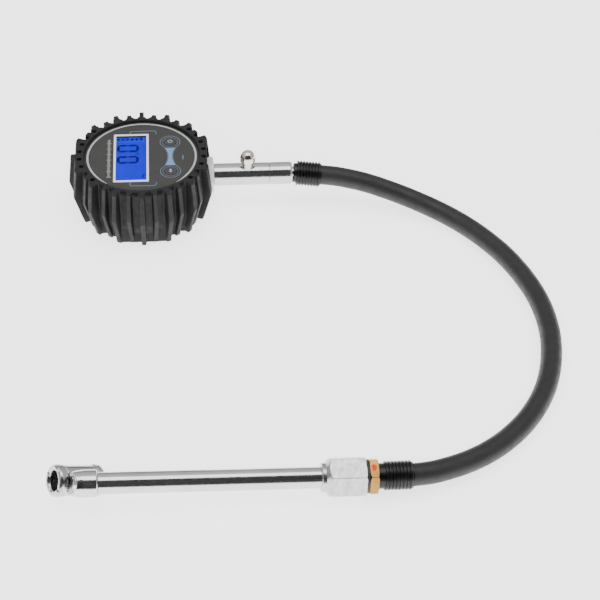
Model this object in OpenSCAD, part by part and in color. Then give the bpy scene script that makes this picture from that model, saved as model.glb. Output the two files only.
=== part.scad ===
// Digital tire pressure gauge in a rubber boot, with hose, wand and dual-foot chuck.
// Origin: centre of the gauge's back, on the table. +X runs along the stem, +Z out of the dial.

/* [Boot] */
// Height of the boot at its front lip
boot_h = 36; // [35:0.5:38]
// Rubber between the case and the bottom of a groove
boot_wall = 2.4; // [2:0.1:3]
// Rubber under the case
boot_floor = 2.2; // [1.8:0.1:2.6]
// Depth of the dial below the front lip
dial_depth = 2; // [1.4:0.1:2.6]
// How far the front lip reaches over the case
boot_lip = 0.5; // [0.3:0.1:0.7]
// Height of a tall lug over the groove
lug_tall = 4.4; // [3.4:0.1:5]
// Height of a short lug over the groove
lug_short = 2.3; // [1.2:0.1:2.8]
// Width of a lug
lug_w = 2.5; // [1.8:0.1:3]
// How much further out the lugs stand at their ridge
ridge_out = 1.9; // [0.5:0.1:2.5]
// Height of the ridge
ridge_z = 18.5; // [14:0.5:22]
// How far the boot draws in at its foot
foot_in = 3; // [2:0.1:3.2]
// Number of tall lugs
tall_lugs = 16; // [8:8:16]
// Width of the boot's rim under the case
back_rim = 3.6; // [3.2:0.1:4.5]

/* [Case] */
// Radius of the case
case_r = 32; // [31.5:0.1:33]
// Wall of the case
case_wall = 1.8; // [1.4:0.1:2]
// Floor of the rear case
case_floor = 2; // [1.6:0.1:2.4]
// Height of the front case
front_h = 7; // [6.6:0.1:7.4]
// Thickness of the front plate
front_plate = 2.5; // [2.2:0.1:2.8]
// Diameter of a case screw
case_screw_d = 2.5; // [2:0.1:2.8]
// Distance of the case screws from the outside of the case
screw_inset = 4.8; // [4.7:0.1:5.2]

/* [Dial] */
// Thickness of the dial sheet
dial_t = 0.5; // [0.3:0.1:0.7]
// Width of the display window
window_w = 19.4; // [18:0.1:20]
// Length of the display window
window_l = 42.8; // [40:0.1:43]
// Thickness of the display window
window_t = 0.9; // [0.7:0.1:1.1]
// Width of the printed frame round the display
window_rim = 1.3; // [1:0.1:1.6]
// Middle of the window, along the stem
window_x = -5.8; // [-6.4:0.1:-5.4]
// Diameter of a key cap
key_d = 7; // [6:0.1:8]
// Height of a key cap above the dial
key_proud = 0.5; // [0.4:0.1:0.8]
// Travel of a key
key_travel = 0.4; // [0.2:0.05:0.5]
// Place of the keys along the stem
key_x = 15.7; // [15.3:0.1:16.5]
// Distance between the keys
key_pitch = 26.2; // [24:0.1:27]

/* [Electronics] */
// Thickness of the circuit board
board_t = 1.6; // [1:0.1:1.8]
// Gap between the circuit board and the case round it
board_play = 1.2; // [0.8:0.1:2]
// Thickness of the liquid crystal display
lcd_t = 2.2; // [1.8:0.1:2.4]
// Diameter of a battery cell
cell_d = 10.3; // [10.1:0.1:10.5]
// Length of a battery cell
cell_l = 44.5; // [43.5:0.1:44.8]
// Radius of the pressure sensor
sensor_r = 5.9; // [5.2:0.1:6]
// Length of the pressure sensor
sensor_l = 11; // [9:0.5:12]

/* [Stem] */
// Depth of the stem's axis below the boot's lip
stem_drop = 15.8; // [15.6:0.1:16]
// Diameter of the stem
stem_d = 12.6; // [11.6:0.1:12.8]
// Length of the valve body
valve_l = 31.1; // [28:0.1:34]
// Length of the hose coupling
coupling_l = 12.5; // [10:0.1:16]
// Width across the flats of the port fitting
port_af = 17; // [15:0.5:18]
// Thickness of the port fitting's hexagon
port_hex_t = 3.4; // [2.6:0.1:4]
// Diameter of the port fitting's thread
port_thread_d = 8; // [7:0.1:8.4]
// Diameter of the air bore in the valve body
air_bore_d = 5; // [4.8:0.1:5.6]

/* [Bleed button] */
// Distance of the button from the port fitting
button_x = 19; // [16:0.5:22]
// Diameter of the button cap
button_d = 8.8; // [8.4:0.1:9.6]
// Wall of the button cap
button_wall = 1; // [0.7:0.05:1.1]
// Height of the cap's top over the stem's axis
button_top = 15.7; // [15:0.1:16]
// Travel of the button
button_travel = 1.5; // [0.8:0.1:1.7]
// Diameter of the valve pin
pin_d = 2.2; // [1.8:0.1:2.4]

/* [Hose] */
// Outer diameter of the hose
hose_d = 11; // [10.4:0.1:11.2]
// Bore of the hose
hose_bore = 6.4; // [6:0.1:6.6]
// Diameter over the ribs of a ferrule
ferrule_d = 13.8; // [13.4:0.1:14.6]
// Number of ribs on a ferrule
ferrule_ribs = 8; // [5:1:9]
// Length of the ribbed part of a ferrule
ferrule_l = 13.4; // [12.4:0.1:15]

/* [Wand] */
// Diameter of the wand tube
tube_d = 10.2; // [9.6:0.1:10.4]
// Bore of the wand tube
tube_bore = 4.4; // [4:0.1:4.6]
// Distance from the chuck's socket to the union nut
tube_l = 103.5; // [90:0.1:120]
// Width across the flats of the union nut
nut_af = 17.6; // [17:0.1:18.4]
// Length of the union nut
nut_l = 20.9; // [20:0.1:24]
// Width across the flats of the brass fitting
barb_af = 16; // [15:0.1:17]
// Thickness of the brass fitting's hexagon
barb_hex_t = 4.3; // [4:0.1:6]

/* [Chuck] */
// Radius of the chuck's barrel
barrel_r = 7.2; // [7.1:0.1:7.4]
// Length of the barrel between its caps
barrel_l = 15.9; // [15.4:0.1:16.4]
// Angle between the barrel and the wand
barrel_tilt = 30; // [28:1:32]
// Radius of the socket that holds the wand tube
socket_r = 6.4; // [6:0.1:6.8]
// Diameter of a mouth, which slips over a tyre valve
mouth_d = 9; // [8.4:0.1:9.2]
// Depth of a mouth down to its seal
mouth_depth = 5.2; // [4.8:0.1:5.4]
// Thickness of a mouth seal
seal_t = 2; // [1.6:0.1:2.2]
// Travel of a chuck plunger
plunger_travel = 1.2; // [0.6:0.1:1.4]
// Radius of the front cap
front_cap_r = 7.6; // [7.3:0.1:7.8]
// Radius of the rear cap
rear_cap_r = 7.5; // [7:0.1:7.5]

/* [Hidden] */
$fn = 96;
fit = 0.1;    // clearance of a soft or loose fit, each side
slide = 0.06; // radial clearance of a running fit
touch = 0.02; // gap between faces that rest on each other
eps = 0.01;

// Heights in the gauge head
stem_z = boot_h - stem_drop;
dial_z = boot_h - dial_depth;
case_z = boot_floor + fit;
split_z = dial_z - front_h;
plate_top = dial_z - dial_t;
plate_z = plate_top - front_plate;
window_z = dial_z - window_t;
ledge_t = 0.5;
lcd_top = window_z - ledge_t - touch;
lcd_z = lcd_top - lcd_t;
board_gap = 2.1;
board_top = lcd_z - board_gap;
board_z = board_top - board_t;
switch_h = 1.3;
key_flange_t = 0.9;
key_flange_z = plate_z - touch - key_flange_t;
plunger_foot = board_top + 0.2 + key_travel + touch;

// Radii of the gauge head
case_in = case_r - case_wall;
groove_r = case_r + fit + boot_wall;
foot_r = groove_r - foot_in;
foot_z = 12;
case_foot = 2.2;
case_foot_z = 11;
dial_r = case_r - 1.1;
back_open_r = case_r - back_rim;
screw_r = case_r - screw_inset;
bolt = [for (a = [60, 145, 215, 300]) screw_r * [cos(a), sin(a)]];
post_r = 3.2;
spigot_h = 2.5;
spigot_wall = 1.6;
board_r = case_in - spigot_wall - board_play;
connector_w = 2.4;
light_w = window_w - 0.4 - connector_w - 0.6;

// Stem positions along X
port_shoulder_r = 6.4;
port_notch_r = port_af / 2 / cos(30) + 0.4;
port_shoulder_x = case_r + 0.6;
port_hex_x = groove_r + 1.5;
stem_x = port_hex_x + port_hex_t + touch;
bleed_x = stem_x + button_x;
coupling_x = stem_x + valve_l + touch;
coupling_end = coupling_x + coupling_l;
stem_spigot_d = 8;
// Heights in the bleed valve, over the stem's axis
boss_r = button_d / 2 - button_wall - slide;
boss_top = 10.6;
guide_top = 5.5;
seat_z = 2.6;
disc_r = air_bore_d / 2 - 0.3;
disc_t = 0.8;
seal_z = seat_z - 0.9;
cap_roof = button_top - 3.2;

// Battery bay in the rear case
cell_x = -3;
cell_pitch = cell_d + 0.6;
tab_off = cell_pitch / 2 - 2.3;
cell_z = case_z + case_floor + 0.2 + cell_d / 2;
bay_w = 2 * cell_d + 1.4;
bay_l = cell_l + 4.1;
bay_top = cell_z + cell_d / 2 + 0.5;
bay_wall = 1.2;
contact_t = 0.35;
door_gap = 0.2;
door_l = cell_l + 0.5;

// Ferrules and hose; each ferrule leans a little in its seat
upper_collar = [2, 5.4];
lower_collar = [3.2, 6.1];
collar_web = 0.5;
ferrule_bore = hose_d / 2 + fit;
barb_core = hose_bore / 2 - 0.5;
barb_neck_r = 3.4;
upper_pitch = 6;
upper_yaw = -2.5;
upper_x = coupling_end + upper_collar[1] * sin(norm([upper_pitch, upper_yaw])) + fit;
upper_start = upper_collar[0] + collar_web + fit;
upper_end = upper_collar[0] + ferrule_l;

// Wand positions along its own axis, from the middle of the chuck
socket_end = 18;
nut_x = socket_end + tube_l;
nut_end = nut_x + nut_l;
washer_t = 1.4;
barb_hex_x = nut_end + washer_t + 2 * touch;
barb_hex_end = barb_hex_x + barb_hex_t;
flange_x = nut_x + 8.1;
flange_t = 1.5;
flange_r = 6.2;
gasket_t = 1.2;
gasket_end = flange_x + flange_t + gasket_t + 2 * touch;
nut_corner = nut_af / 2 / cos(30);
lower_yaw = 0.8;
lower_x = barb_hex_end + lower_collar[1] * sin(abs(lower_yaw)) + fit;
lower_start = lower_collar[0] + collar_web + fit;
lower_end = lower_collar[0] + ferrule_l;
tube_spigot_r = 2.5;
spigot_l = 2.9;
hex_roll = -14.6;

// Lay of the wand: its head rolled over, and the chuck or the nut on the table
head_roll = 40.4;
chuck_at = [-2.4, 1.7, -3.7];
wand_x = -38.95;
wand_y = -222.7;
wand_yaw = 1.97;
wand_slope = 3.3;
front_flange = 4.6;
rear_flange = 4;
rear_s = front_flange + barrel_l + rear_flange;
rim_s = rear_s - 1.1;
rim_down = (chuck_at.x + rim_s * cos(barrel_tilt)) * sin(wand_slope)
    - chuck_at.y * sin(head_roll) - (chuck_at.z - rim_s * sin(barrel_tilt)) * cos(head_roll);
rim_lean = sin(barrel_tilt) * cos(head_roll) + cos(barrel_tilt) * sin(wand_slope);
chuck_down = rim_down + rear_cap_r * sqrt(1 - pow(rim_lean, 2));
nut_down = nut_corner * cos(15) + nut_end * sin(wand_slope);
wand_z = max(chuck_down, nut_down) + 0.05;

// Barrel of the chuck, measured along it from the front mouth
cap_thread_r = 5.9;
seal_r = 5.2;
chamber_r = 3.3;
inner_l = mouth_depth + seal_t;
web_mid = rear_s / 2;
web_t = 0.6;
plunger_t = 0.7;
plunger_r = 2.9;
plunger_gap = 0.1;
spring_l = web_mid - web_t / 2 - inner_l - plunger_gap - plunger_t - 2 * touch;

// Turns a vector about Y by slope, then about Z by yaw
function turn(v, slope, yaw) = let (x = v.x * cos(slope) + v.z * sin(slope))
    [x * cos(yaw) - v.y * sin(yaw), x * sin(yaw) + v.y * cos(yaw), v.z * cos(slope) - v.x * sin(slope)];

// Points on the middle line of each ferrule, s from its collar
function upper_at(s) = [upper_x, 0, stem_z] + s * turn([1, 0, 0], upper_pitch, upper_yaw);
function lower_at(s) = [wand_x, wand_y, wand_z]
    + turn([lower_x + s * cos(lower_yaw), s * sin(lower_yaw), 0], wand_slope, wand_yaw);

// Middle line of the hose, from ferrule to ferrule. Each typed point is X, Y and the share of the
// ferrule's height that is left over the table.
hose_z = hose_d / 2 + 0.2;
function over_table(points, top) = [for (p = points) [p.x, p.y, hose_z + p.z * (top - hose_z)]];
hose_route = concat(
    [for (s = [upper_start, (upper_start + upper_end) / 2, upper_end]) upper_at(s)],
    over_table([
        [107, -1.4, 0.95], [115.5, -2.6, 0.855], [124.5, -4.3, 0.724], [134.5, -6.9, 0.541],
        [144.5, -10.3, 0.358], [154.3, -14.6, 0.19], [163.6, -20.2, 0.073], [172.4, -27.5, 0.015],
        [180.7, -36.6, 0], [188.2, -46.9, 0], [194.9, -58, 0], [200.3, -69.8, 0], [204.6, -82, 0],
        [207.7, -94.8, 0], [209.2, -108, 0], [209.2, -121.4, 0], [207.5, -134.8, 0]
    ], upper_at(upper_end).z),
    over_table([
        [204.4, -147.8, 0], [199.9, -160, 0], [194.1, -171, 0], [187.3, -180.8, 0],
        [179.6, -189.4, 0], [171, -197, 0.035], [161.8, -203.5, 0.174], [152, -208.9, 0.383],
        [142.5, -212.9, 0.627], [134.5, -215.4, 0.801]
    ], lower_at(lower_end).z),
    [for (s = [lower_end, (lower_start + lower_end) / 2, lower_start]) lower_at(s)]
);

// ---- helpers ----

// A body turned about X; points are [radius, x]
module turned(points) {
    rotate([0, 90, 0]) rotate_extrude() polygon(points);
}

// A cylinder along X from x0 to x1
module rod_x(r, x0, x1) {
    translate([x0, 0, 0]) rotate([0, 90, 0]) cylinder(r = r, h = x1 - x0);
}

// A hexagonal bar along X with chamfered ends
module hex_x(af, x0, x1, chamfer) {
    corner = af / 2 / cos(30);
    rim = corner - chamfer;
    intersection() {
        translate([x0, 0, 0]) rotate([0, 90, 0]) cylinder(r = corner, h = x1 - x0, $fn = 6);
        turned([[0, x0], [rim, x0], [corner + eps, x0 + chamfer * 0.6],
            [corner + eps, x1 - chamfer * 0.6], [rim, x1], [0, x1]]);
    }
}

// A round-cornered plate
module plate(w, l, t, r) {
    linear_extrude(t) union() {
        square([w - 2 * r, l], center = true);
        square([w, l - 2 * r], center = true);
        for (sx = [-1, 1], sy = [-1, 1])
            translate([sx * (w / 2 - r), sy * (l / 2 - r)]) circle(r = r, $fn = 32);
    }
}

// Repeats its child at the two keys, which = 1 far, -1 near
module at_key(which) {
    translate([key_x, which * key_pitch / 2 - 0.5, 0]) children();
}

// Repeats its child at the four case screws
module at_bolts() {
    for (p = bolt) translate([p.x, p.y, 0]) children();
}

// Repeats its child at the three board posts
module at_board_posts() {
    side = board_r - 3.2;
    for (p = [[5.6, side], [5.6, -side], [5.8 - board_r, 0]]) translate([p.x, p.y, 0]) children();
}

module stem_frame() {
    translate([0, 0, stem_z]) children();
}

module upper_ferrule_frame() {
    translate([upper_x, 0, stem_z]) rotate([0, upper_pitch, upper_yaw]) children();
}

module wand_frame() {
    translate([wand_x, wand_y, wand_z]) rotate([0, wand_slope, wand_yaw]) children();
}

module lower_ferrule_frame() {
    wand_frame() translate([lower_x, 0, 0]) rotate([0, 0, lower_yaw]) children();
}

// Z of this frame runs along the chuck's barrel, from the front mouth to the rear mouth
module barrel_frame() {
    wand_frame() rotate([head_roll, 0, 0]) translate(chuck_at)
        rotate([0, 90 + barrel_tilt, 0]) children();
}

// A closed coil spring along Z, as one swept tube
module coil(r, wire, h, turns, steps = 12, sides = 6) {
    n = turns * steps;
    rise = (h - wire) / n;
    ring = [for (k = [0:sides - 1]) let (b = 360 * k / sides) [cos(b), sin(b)] * wire / 2];
    points = [for (i = [0:n], p = ring) let (a = 360 * i / steps)
        [(r + p.x) * cos(a), (r + p.x) * sin(a), wire / 2 + i * rise + p.y]];
    walls = [for (i = [0:n - 1], k = [0:sides - 1]) let (m = (k + 1) % sides)
        [i * sides + k, (i + 1) * sides + k, (i + 1) * sides + m, i * sides + m]];
    caps = [[for (k = [0:sides - 1]) k], [for (k = [sides - 1:-1:0]) n * sides + k]];
    polyhedron(points, concat(walls, caps), convexity = 10);
}

// ---- gauge head ----

// Side profile of the lugs: radius at the lip, ridge and foot for a lug height
function lug_profile(h, scale_x = 1, add = 0) = [
    [(foot_r + h - 0.4) * scale_x + add, 0],
    [(foot_r + h) * scale_x + add, 0.6],
    [(groove_r + h + ridge_out) * scale_x + add, ridge_z],
    [(groove_r + h) * scale_x + add, boot_h - 0.5],
    [(groove_r + h - 0.5) * scale_x + add, boot_h]
];

function mirrored(p) = [for (i = [len(p) - 1:-1:0]) [-p[i].x, p[i].y]];

// One lug as a radial slab
module lug(angle, h) {
    rotate([0, 0, angle]) translate([0, lug_w / 2, 0]) rotate([90, 0, 0])
        linear_extrude(lug_w) polygon(concat([[case_r, 0]], lug_profile(h), [[case_r, boot_h]]));
}

// The flank of a lug that faces the stem runs straight across the boot, as it leaves its mould
module lug_flanks(angle, h) {
    reach = (foot_r + h) * sin(angle) - lug_w / 2 * cos(angle);
    side = lug_profile(h, cos(angle), lug_w / 2 * sin(angle));
    translate([0, reach, 0]) rotate([90, 0, 0]) linear_extrude(2 * reach)
        polygon(concat(side, mirrored(side)));
}

module rubber_boot() {
    lug_step = 360 / tall_lugs;
    color("#2e2e2f") difference() {
        union() {
            rotate_extrude() polygon([[back_open_r - 8, 0], [foot_r, 0], [groove_r, foot_z],
                [groove_r, boot_h - 0.4], [groove_r - 0.4, boot_h], [back_open_r - 8, boot_h]]);
            for (i = [0:tall_lugs - 1]) {
                lug(i * lug_step, lug_tall);
                lug((i + 0.5) * lug_step, lug_short);
            }
            for (a = [lug_step:lug_step:89]) lug_flanks(a, lug_tall);
            for (a = [lug_step / 2:lug_step:89]) lug_flanks(a, lug_short);
        }
        // room for the case, held by the lip
        rotate_extrude() polygon([[0, boot_floor], [case_r - case_foot + fit, boot_floor],
            [case_r + fit, case_foot_z], [case_r + fit, dial_z + fit],
            [case_r - boot_lip, dial_z + fit], [case_r - boot_lip, boot_h - 0.5],
            [case_r - boot_lip + 0.5, boot_h + eps], [0, boot_h + eps]]);
        translate([0, 0, -eps]) cylinder(r = back_open_r, h = boot_floor + 1);
        // pits at the lip between the lugs
        for (i = [0:2 * tall_lugs - 1]) rotate([0, 0, (i + 0.5) * lug_step / 2])
            translate([groove_r - 0.3, 0, boot_h - 2.2]) cylinder(r = 1.3, h = 3, $fn = 24);
        // way out for the port fitting, open to the front
        stem_frame() rod_x(port_shoulder_r + 0.4, case_r - 4, groove_r + 8);
        stem_frame() rod_x(port_notch_r, port_hex_x - 0.3, groove_r + 8);
        translate([port_hex_x - 0.3, -port_notch_r, stem_z])
            cube([10, 2 * port_notch_r, boot_h]);
    }
}

// Outline of the closed case, up to a height
module case_solid(inset, z0, z1) {
    r = case_r - inset;
    intersection() {
        rotate_extrude() polygon([[0, z0], [r - case_foot, z0],
            [r, z0 + case_foot_z - case_z], [r, z1 + 10], [0, z1 + 10]]);
        cylinder(r = case_r + 1, h = z1);
    }
}

module bay(w, l, z0, z1) {
    translate([cell_x - w / 2, -l / 2, z0]) cube([w, l, z1 - z0]);
}

module rear_case() {
    color("#26282a") difference() {
        union() {
            difference() {
                case_solid(0, case_z, split_z);
                case_solid(case_wall, case_z + case_floor, split_z + 1);
            }
            intersection() {
                case_solid(0, case_z, split_z);
                union() {
                    bay(bay_w + 2 * bay_wall, bay_l + 2 * bay_wall, case_z, bay_top + bay_wall);
                    at_bolts() translate([0, 0, case_z]) cylinder(r = post_r, h = split_z);
                }
            }
            stem_frame() rod_x(port_shoulder_r, case_in - 1.4, port_shoulder_x - touch);
        }
        bay(bay_w, bay_l, case_z + case_floor, bay_top);
        bay(bay_w - 1, door_l, case_z - 1, case_z + case_floor + 1);
        bay(bay_w + 1, door_l + 1.4, case_z - 1, case_z + case_floor / 2);
        for (s = [-1, 1])
            translate([cell_x + s * tab_off - 1.6, bay_l / 2 - 0.9, bay_top - 1])
                cube([3.2, 0.9, bay_wall + 2]);
        at_bolts() translate([0, 0, case_z - 1]) {
            cylinder(d = case_screw_d + 2.6, h = split_z * 0.6);
            cylinder(d = case_screw_d + 0.3, h = split_z);
        }
        stem_frame() rod_x(port_thread_d / 2 + fit, case_in - 3, case_r + 2);
    }
}

module front_case() {
    color("#303234") difference() {
        union() {
            difference() {
                translate([0, 0, split_z + touch]) cylinder(r = case_r, h = front_h - touch);
                cylinder(r = case_in - spigot_wall, h = plate_z);
            }
            // spigot that centres the two halves
            difference() {
                translate([0, 0, split_z - spigot_h])
                    cylinder(r = case_in - fit, h = spigot_h + 2 * touch);
                cylinder(r = case_in - spigot_wall, h = plate_z);
                at_bolts() cylinder(r = post_r + 0.2, h = split_z + touch);
                translate([case_in - 8, -port_shoulder_r - 0.6, split_z - spigot_h - 1])
                    cube([10, 2 * port_shoulder_r + 1.2, spigot_h + 1 + touch]);
            }
            at_bolts() translate([0, 0, split_z + touch])
                cylinder(r = post_r - 0.2, h = plate_z - split_z);
            at_board_posts() translate([0, 0, board_top + touch])
                cylinder(r = 2.2, h = plate_z - board_top);
        }
        translate([0, 0, plate_top]) cylinder(r = dial_r, h = 2);
        translate([window_x, -0.8, 0]) {
            translate([0, 0, window_z]) plate(window_w + 0.1, window_l + 0.1, 2, 0.6);
            translate([0, 0, plate_z - 1])
                plate(window_w - 2 * window_rim, window_l - 2 * window_rim, 6, 0.3);
            translate([0, 0, plate_z - 1])
                plate(window_w, window_l, lcd_top + touch - plate_z + 1, 0.3);
        }
        for (k = [-1, 1]) at_key(k) translate([0, 0, plate_z - 1])
            cylinder(d = key_d + 2 * slide, h = 6);
        at_bolts() cylinder(d = case_screw_d + 0.1, h = plate_z + 0.5);
        at_board_posts() cylinder(d = 2.1, h = plate_z + 0.5);
    }
}

module dial_overlay() {
    color("#4b4b4b") difference() {
        translate([0, 0, plate_top + touch]) cylinder(r = dial_r - fit, h = dial_t - touch);
        translate([window_x, -0.8, plate_top - 1]) plate(window_w + 0.2, window_l + 0.2, 3, 0.65);
        for (k = [-1, 1]) at_key(k) translate([0, 0, plate_top - 1]) cylinder(d = key_d + 0.3, h = 3);
    }
}

module display_window() {
    color("#e8ecff") translate([window_x, -0.8, window_z + touch])
        plate(window_w, window_l, window_t - touch, 0.5);
}

module lcd_glass() {
    color("#3048ff") translate([window_x, -0.8, lcd_z])
        plate(window_w - 0.4, window_l - 0.4, lcd_t, 0.2);
}

module backlight() {
    x = window_x - (window_w - 0.4 - light_w) / 2;
    color("#9fc4ff") translate([x, -0.8, board_top + touch])
        plate(light_w, window_l - 0.4, board_gap - 2 * touch, 0.2);
}

module display_connector() {
    x = window_x + (window_w - 0.4 - connector_w) / 2;
    color("#b8b8bc") translate([x, -0.8, board_top + touch])
        plate(connector_w, window_l - 3, board_gap - 2 * touch, 0.2);
}

module circuit_board() {
    color("#1f6b3a") difference() {
        union() {
            translate([0, 0, board_z]) cylinder(r = board_r, h = board_t);
            translate([-0.18, 0.29, 0] * board_r + [0, 0, board_z - 1]) plate(9, 9, 1, 0.3);
            translate([0.15, -0.44, 0] * board_r + [0, 0, board_z - 0.8]) plate(5, 4, 0.8, 0.2);
            for (i = [0:3]) translate([-0.4 * board_r + 3 * i, -0.29 * board_r, board_z - 0.6])
                plate(1.6, 0.9, 0.6, 0.1);
        }
        at_bolts() cylinder(r = post_r + 0.3, h = boot_h);
        at_board_posts() cylinder(d = 2.4, h = boot_h);
        for (i = [0:3]) translate([sensor_x + 3 + 1.5 * i, 0, board_z - 2]) cylinder(d = 0.9, h = 5);
        for (s = [-1, 1])
            translate([cell_x + s * tab_off, bay_l / 2 - 0.05 - contact_t / 2, board_z])
                cube([3, contact_t + 0.3, 20], center = true);
    }
}

module tact_switches() {
    color("#191919") for (k = [-1, 1]) at_key(k) difference() {
        translate([0, 0, board_top + touch]) plate(6, 6, switch_h - touch, 0.4);
        translate([0, 0, board_top + 0.2]) cylinder(d = 3, h = 3);
    }
}

module switch_plunger(k) {
    at_key(k) translate([0, 0, plunger_foot])
        cylinder(d = 3 - 2 * slide, h = key_flange_z - touch - plunger_foot);
}

module power_plunger() {
    color("#c9b27a") switch_plunger(1);
}

module unit_plunger() {
    color("#c9b27a") switch_plunger(-1);
}

// A key cap with a crowned top and a flange that keeps it under the front plate
module key_cap(k) {
    top = dial_z + key_proud;
    at_key(k) rotate_extrude() polygon(concat([[0, key_flange_z], [key_d / 2 + 1, key_flange_z],
        [key_d / 2 + 1, plate_z - touch], [key_d / 2, plate_z - touch], [key_d / 2, top - 0.45],
        [key_d / 2 - 0.15, top - 0.2]], [for (i = [4:-1:0])
        let (r = i / 5 * key_d / 2) [r, top - 0.2 * pow(r / key_d * 2, 2)]]));
}

module power_key() {
    color("#3f4144") key_cap(1);
}

module unit_key() {
    color("#3f4144") key_cap(-1);
}

module screw(d, head_d, head_h, l) {
    cylinder(d = d, h = l);
    difference() {
        translate([0, 0, -head_h]) cylinder(d = head_d, h = head_h);
        for (a = [0, 90]) rotate([0, 0, a]) translate([-head_d * 0.3, -0.25, -head_h - eps])
            cube([head_d * 0.6, 0.5, head_h / 2]);
    }
}

module board_screws() {
    color("silver") at_board_posts() translate([0, 0, board_z - touch])
        screw(1.9, 3.6, 1.1, plate_z - board_z - 0.3);
}

module case_screws() {
    color("silver") at_bolts() translate([0, 0, case_z - 1 + split_z * 0.6 - touch])
        screw(case_screw_d, case_screw_d + 2, 1.8, plate_z - split_z * 0.6 - case_z + 0.9);
}

module battery_cells() {
    color("#7d8a94") for (s = [-1, 1])
        translate([cell_x + s * cell_pitch / 2, 0, cell_z]) rotate([0, 0, s * 90]) turned([
            [0, -cell_l / 2], [cell_d / 2 - 0.3, -cell_l / 2], [cell_d / 2, -cell_l / 2 + 0.3],
            [cell_d / 2, cell_l / 2 - 1.4], [cell_d / 2 - 0.5, cell_l / 2 - 1], [2, cell_l / 2 - 1],
            [1.8, cell_l / 2], [0, cell_l / 2]]);
}

// Leaf contacts; the far pair run up to the board, the near one links the two cells
module battery_contacts() {
    y0 = bay_l / 2 - 0.05 - contact_t;
    reach = y0 - cell_l / 2 - 0.08;
    color("#c9c9c4") {
        for (s = [-1, 1]) translate([cell_x + s * cell_pitch / 2, 0, 0]) {
            translate([-3.5, y0, cell_z - 4]) cube([7, contact_t, 8]);
            translate([s * (tab_off - cell_pitch / 2) - 1.2, y0, cell_z])
                cube([2.4, contact_t, board_top - cell_z]);
            for (side = [0, 1]) mirror([0, side, 0]) translate([-1.5, 0, 0]) rotate([90, 0, 90])
                linear_extrude(3) polygon([[y0 + eps, cell_z - 3], [y0 - reach, cell_z - 0.4],
                    [y0 - reach, cell_z + 0.4], [y0 + eps, cell_z + 3], [y0 + eps, cell_z + 2.5],
                    [y0 - reach + 0.4, cell_z], [y0 + eps, cell_z - 2.5]]);
        }
        translate([cell_x - cell_pitch / 2 - 3.5, -y0 - contact_t, cell_z - 4])
            cube([cell_pitch + 7, contact_t, 8]);
    }
}

module battery_door() {
    color("#26282a") difference() {
        union() {
            bay(bay_w + 1 - 2 * door_gap, door_l + 1.4 - 2 * door_gap, case_z,
                case_z + case_floor / 2 - touch);
            bay(bay_w - 1 - 2 * door_gap, door_l - 2 * door_gap, case_z, case_z + case_floor);
            // hooks over the floor at both ends, between the cells
            for (s = [-1, 1]) translate([cell_x, s * (door_l / 2 - 0.4), case_z + case_floor + 0.5])
                cube([4, 2.4, 0.96], center = true);
            translate([cell_x - 2, -door_l / 2 + door_gap, case_z + case_floor - eps])
                cube([4, door_l - 2 * door_gap, 0.1]);
        }
        // finger notch
        translate([cell_x, door_l / 2 - 3, case_z - 0.6]) sphere(r = 1.6);
    }
}

sensor_end = case_in - 5.2;
sensor_x = sensor_end - sensor_l;
thread_x = sensor_end - 4;

module pressure_sensor() {
    color("#9aa0a6") {
        stem_frame() difference() {
            turned([[0, sensor_x], [sensor_r - 0.5, sensor_x], [sensor_r, sensor_x + 0.5],
                [sensor_r, sensor_end - 0.5], [sensor_r - 0.5, sensor_end], [0, sensor_end]]);
            rod_x(port_thread_d / 2 + fit, thread_x - 1.4, sensor_end + 1);
            rod_x(1.5, sensor_x + 3, sensor_end);
        }
        for (i = [0:3]) translate([sensor_x + 3 + 1.5 * i, 0, stem_z + sensor_r - 0.8])
            cylinder(d = 0.6, h = board_top + 0.5 - stem_z - sensor_r + 0.8, $fn = 24);
    }
}

module sensor_oring() {
    color("#151515") stem_frame() translate([thread_x - 0.7, 0, 0]) rotate([0, 90, 0])
        rotate_extrude() translate([port_thread_d / 2 - 0.75, 0]) circle(r = 0.65, $fn = 32);
}

module port_nut() {
    nut_x0 = sensor_end + 0.3;
    color("#b9b6ae") stem_frame() difference() {
        rotate([30, 0, 0]) hex_x(port_thread_d + 3.6, nut_x0, case_in - 1.4 - touch, 0.4);
        rod_x(port_thread_d / 2 + slide, nut_x0 - 1, case_in);
    }
}

module port_fitting() {
    color("#d8d4cc") stem_frame() difference() {
        union() {
            turned([[0, thread_x + touch], [port_thread_d / 2 - 0.4, thread_x + touch],
                [port_thread_d / 2, thread_x + 0.5], [port_thread_d / 2, port_shoulder_x],
                [port_shoulder_r, port_shoulder_x], [port_shoulder_r, port_hex_x + eps],
                [0, port_hex_x + eps]]);
            rotate([22, 0, 0]) hex_x(port_af, port_hex_x, port_hex_x + port_hex_t, 0.7);
            rod_x(stem_spigot_d / 2 - 0.5, port_hex_x + port_hex_t - eps, stem_x + 6.4);
        }
        rod_x(1.5, thread_x - 1, stem_x + 8);
    }
}

// ---- stem with the bleed valve ----

module valve_body() {
    r = stem_d / 2;
    x1 = stem_x + valve_l;
    color("#e2e2e4") stem_frame() difference() {
        union() {
            turned([[0, stem_x], [r - 0.4, stem_x], [r, stem_x + 0.4], [r, x1 - 0.3],
                [r - 0.3, x1], [0, x1]]);
            translate([bleed_x, 0, 2]) cylinder(r = boss_r, h = boss_top - 2);
        }
        rod_x(stem_spigot_d / 2 - 0.5 + slide, stem_x - 1, stem_x + 6.5);
        rod_x(air_bore_d / 2, stem_x + 6, x1);
        rod_x(stem_spigot_d / 2 + slide, x1 - 6.5, x1 + 1);
        translate([bleed_x, 0, -seat_z]) cylinder(r = disc_r + 0.2, h = 2 * seat_z);
        translate([bleed_x, 0, 0]) cylinder(d = pin_d + 2 * slide, h = boss_top + 1);
        translate([bleed_x, 0, guide_top]) cylinder(r = boss_r - 1.1, h = boss_top);
    }
}

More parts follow.
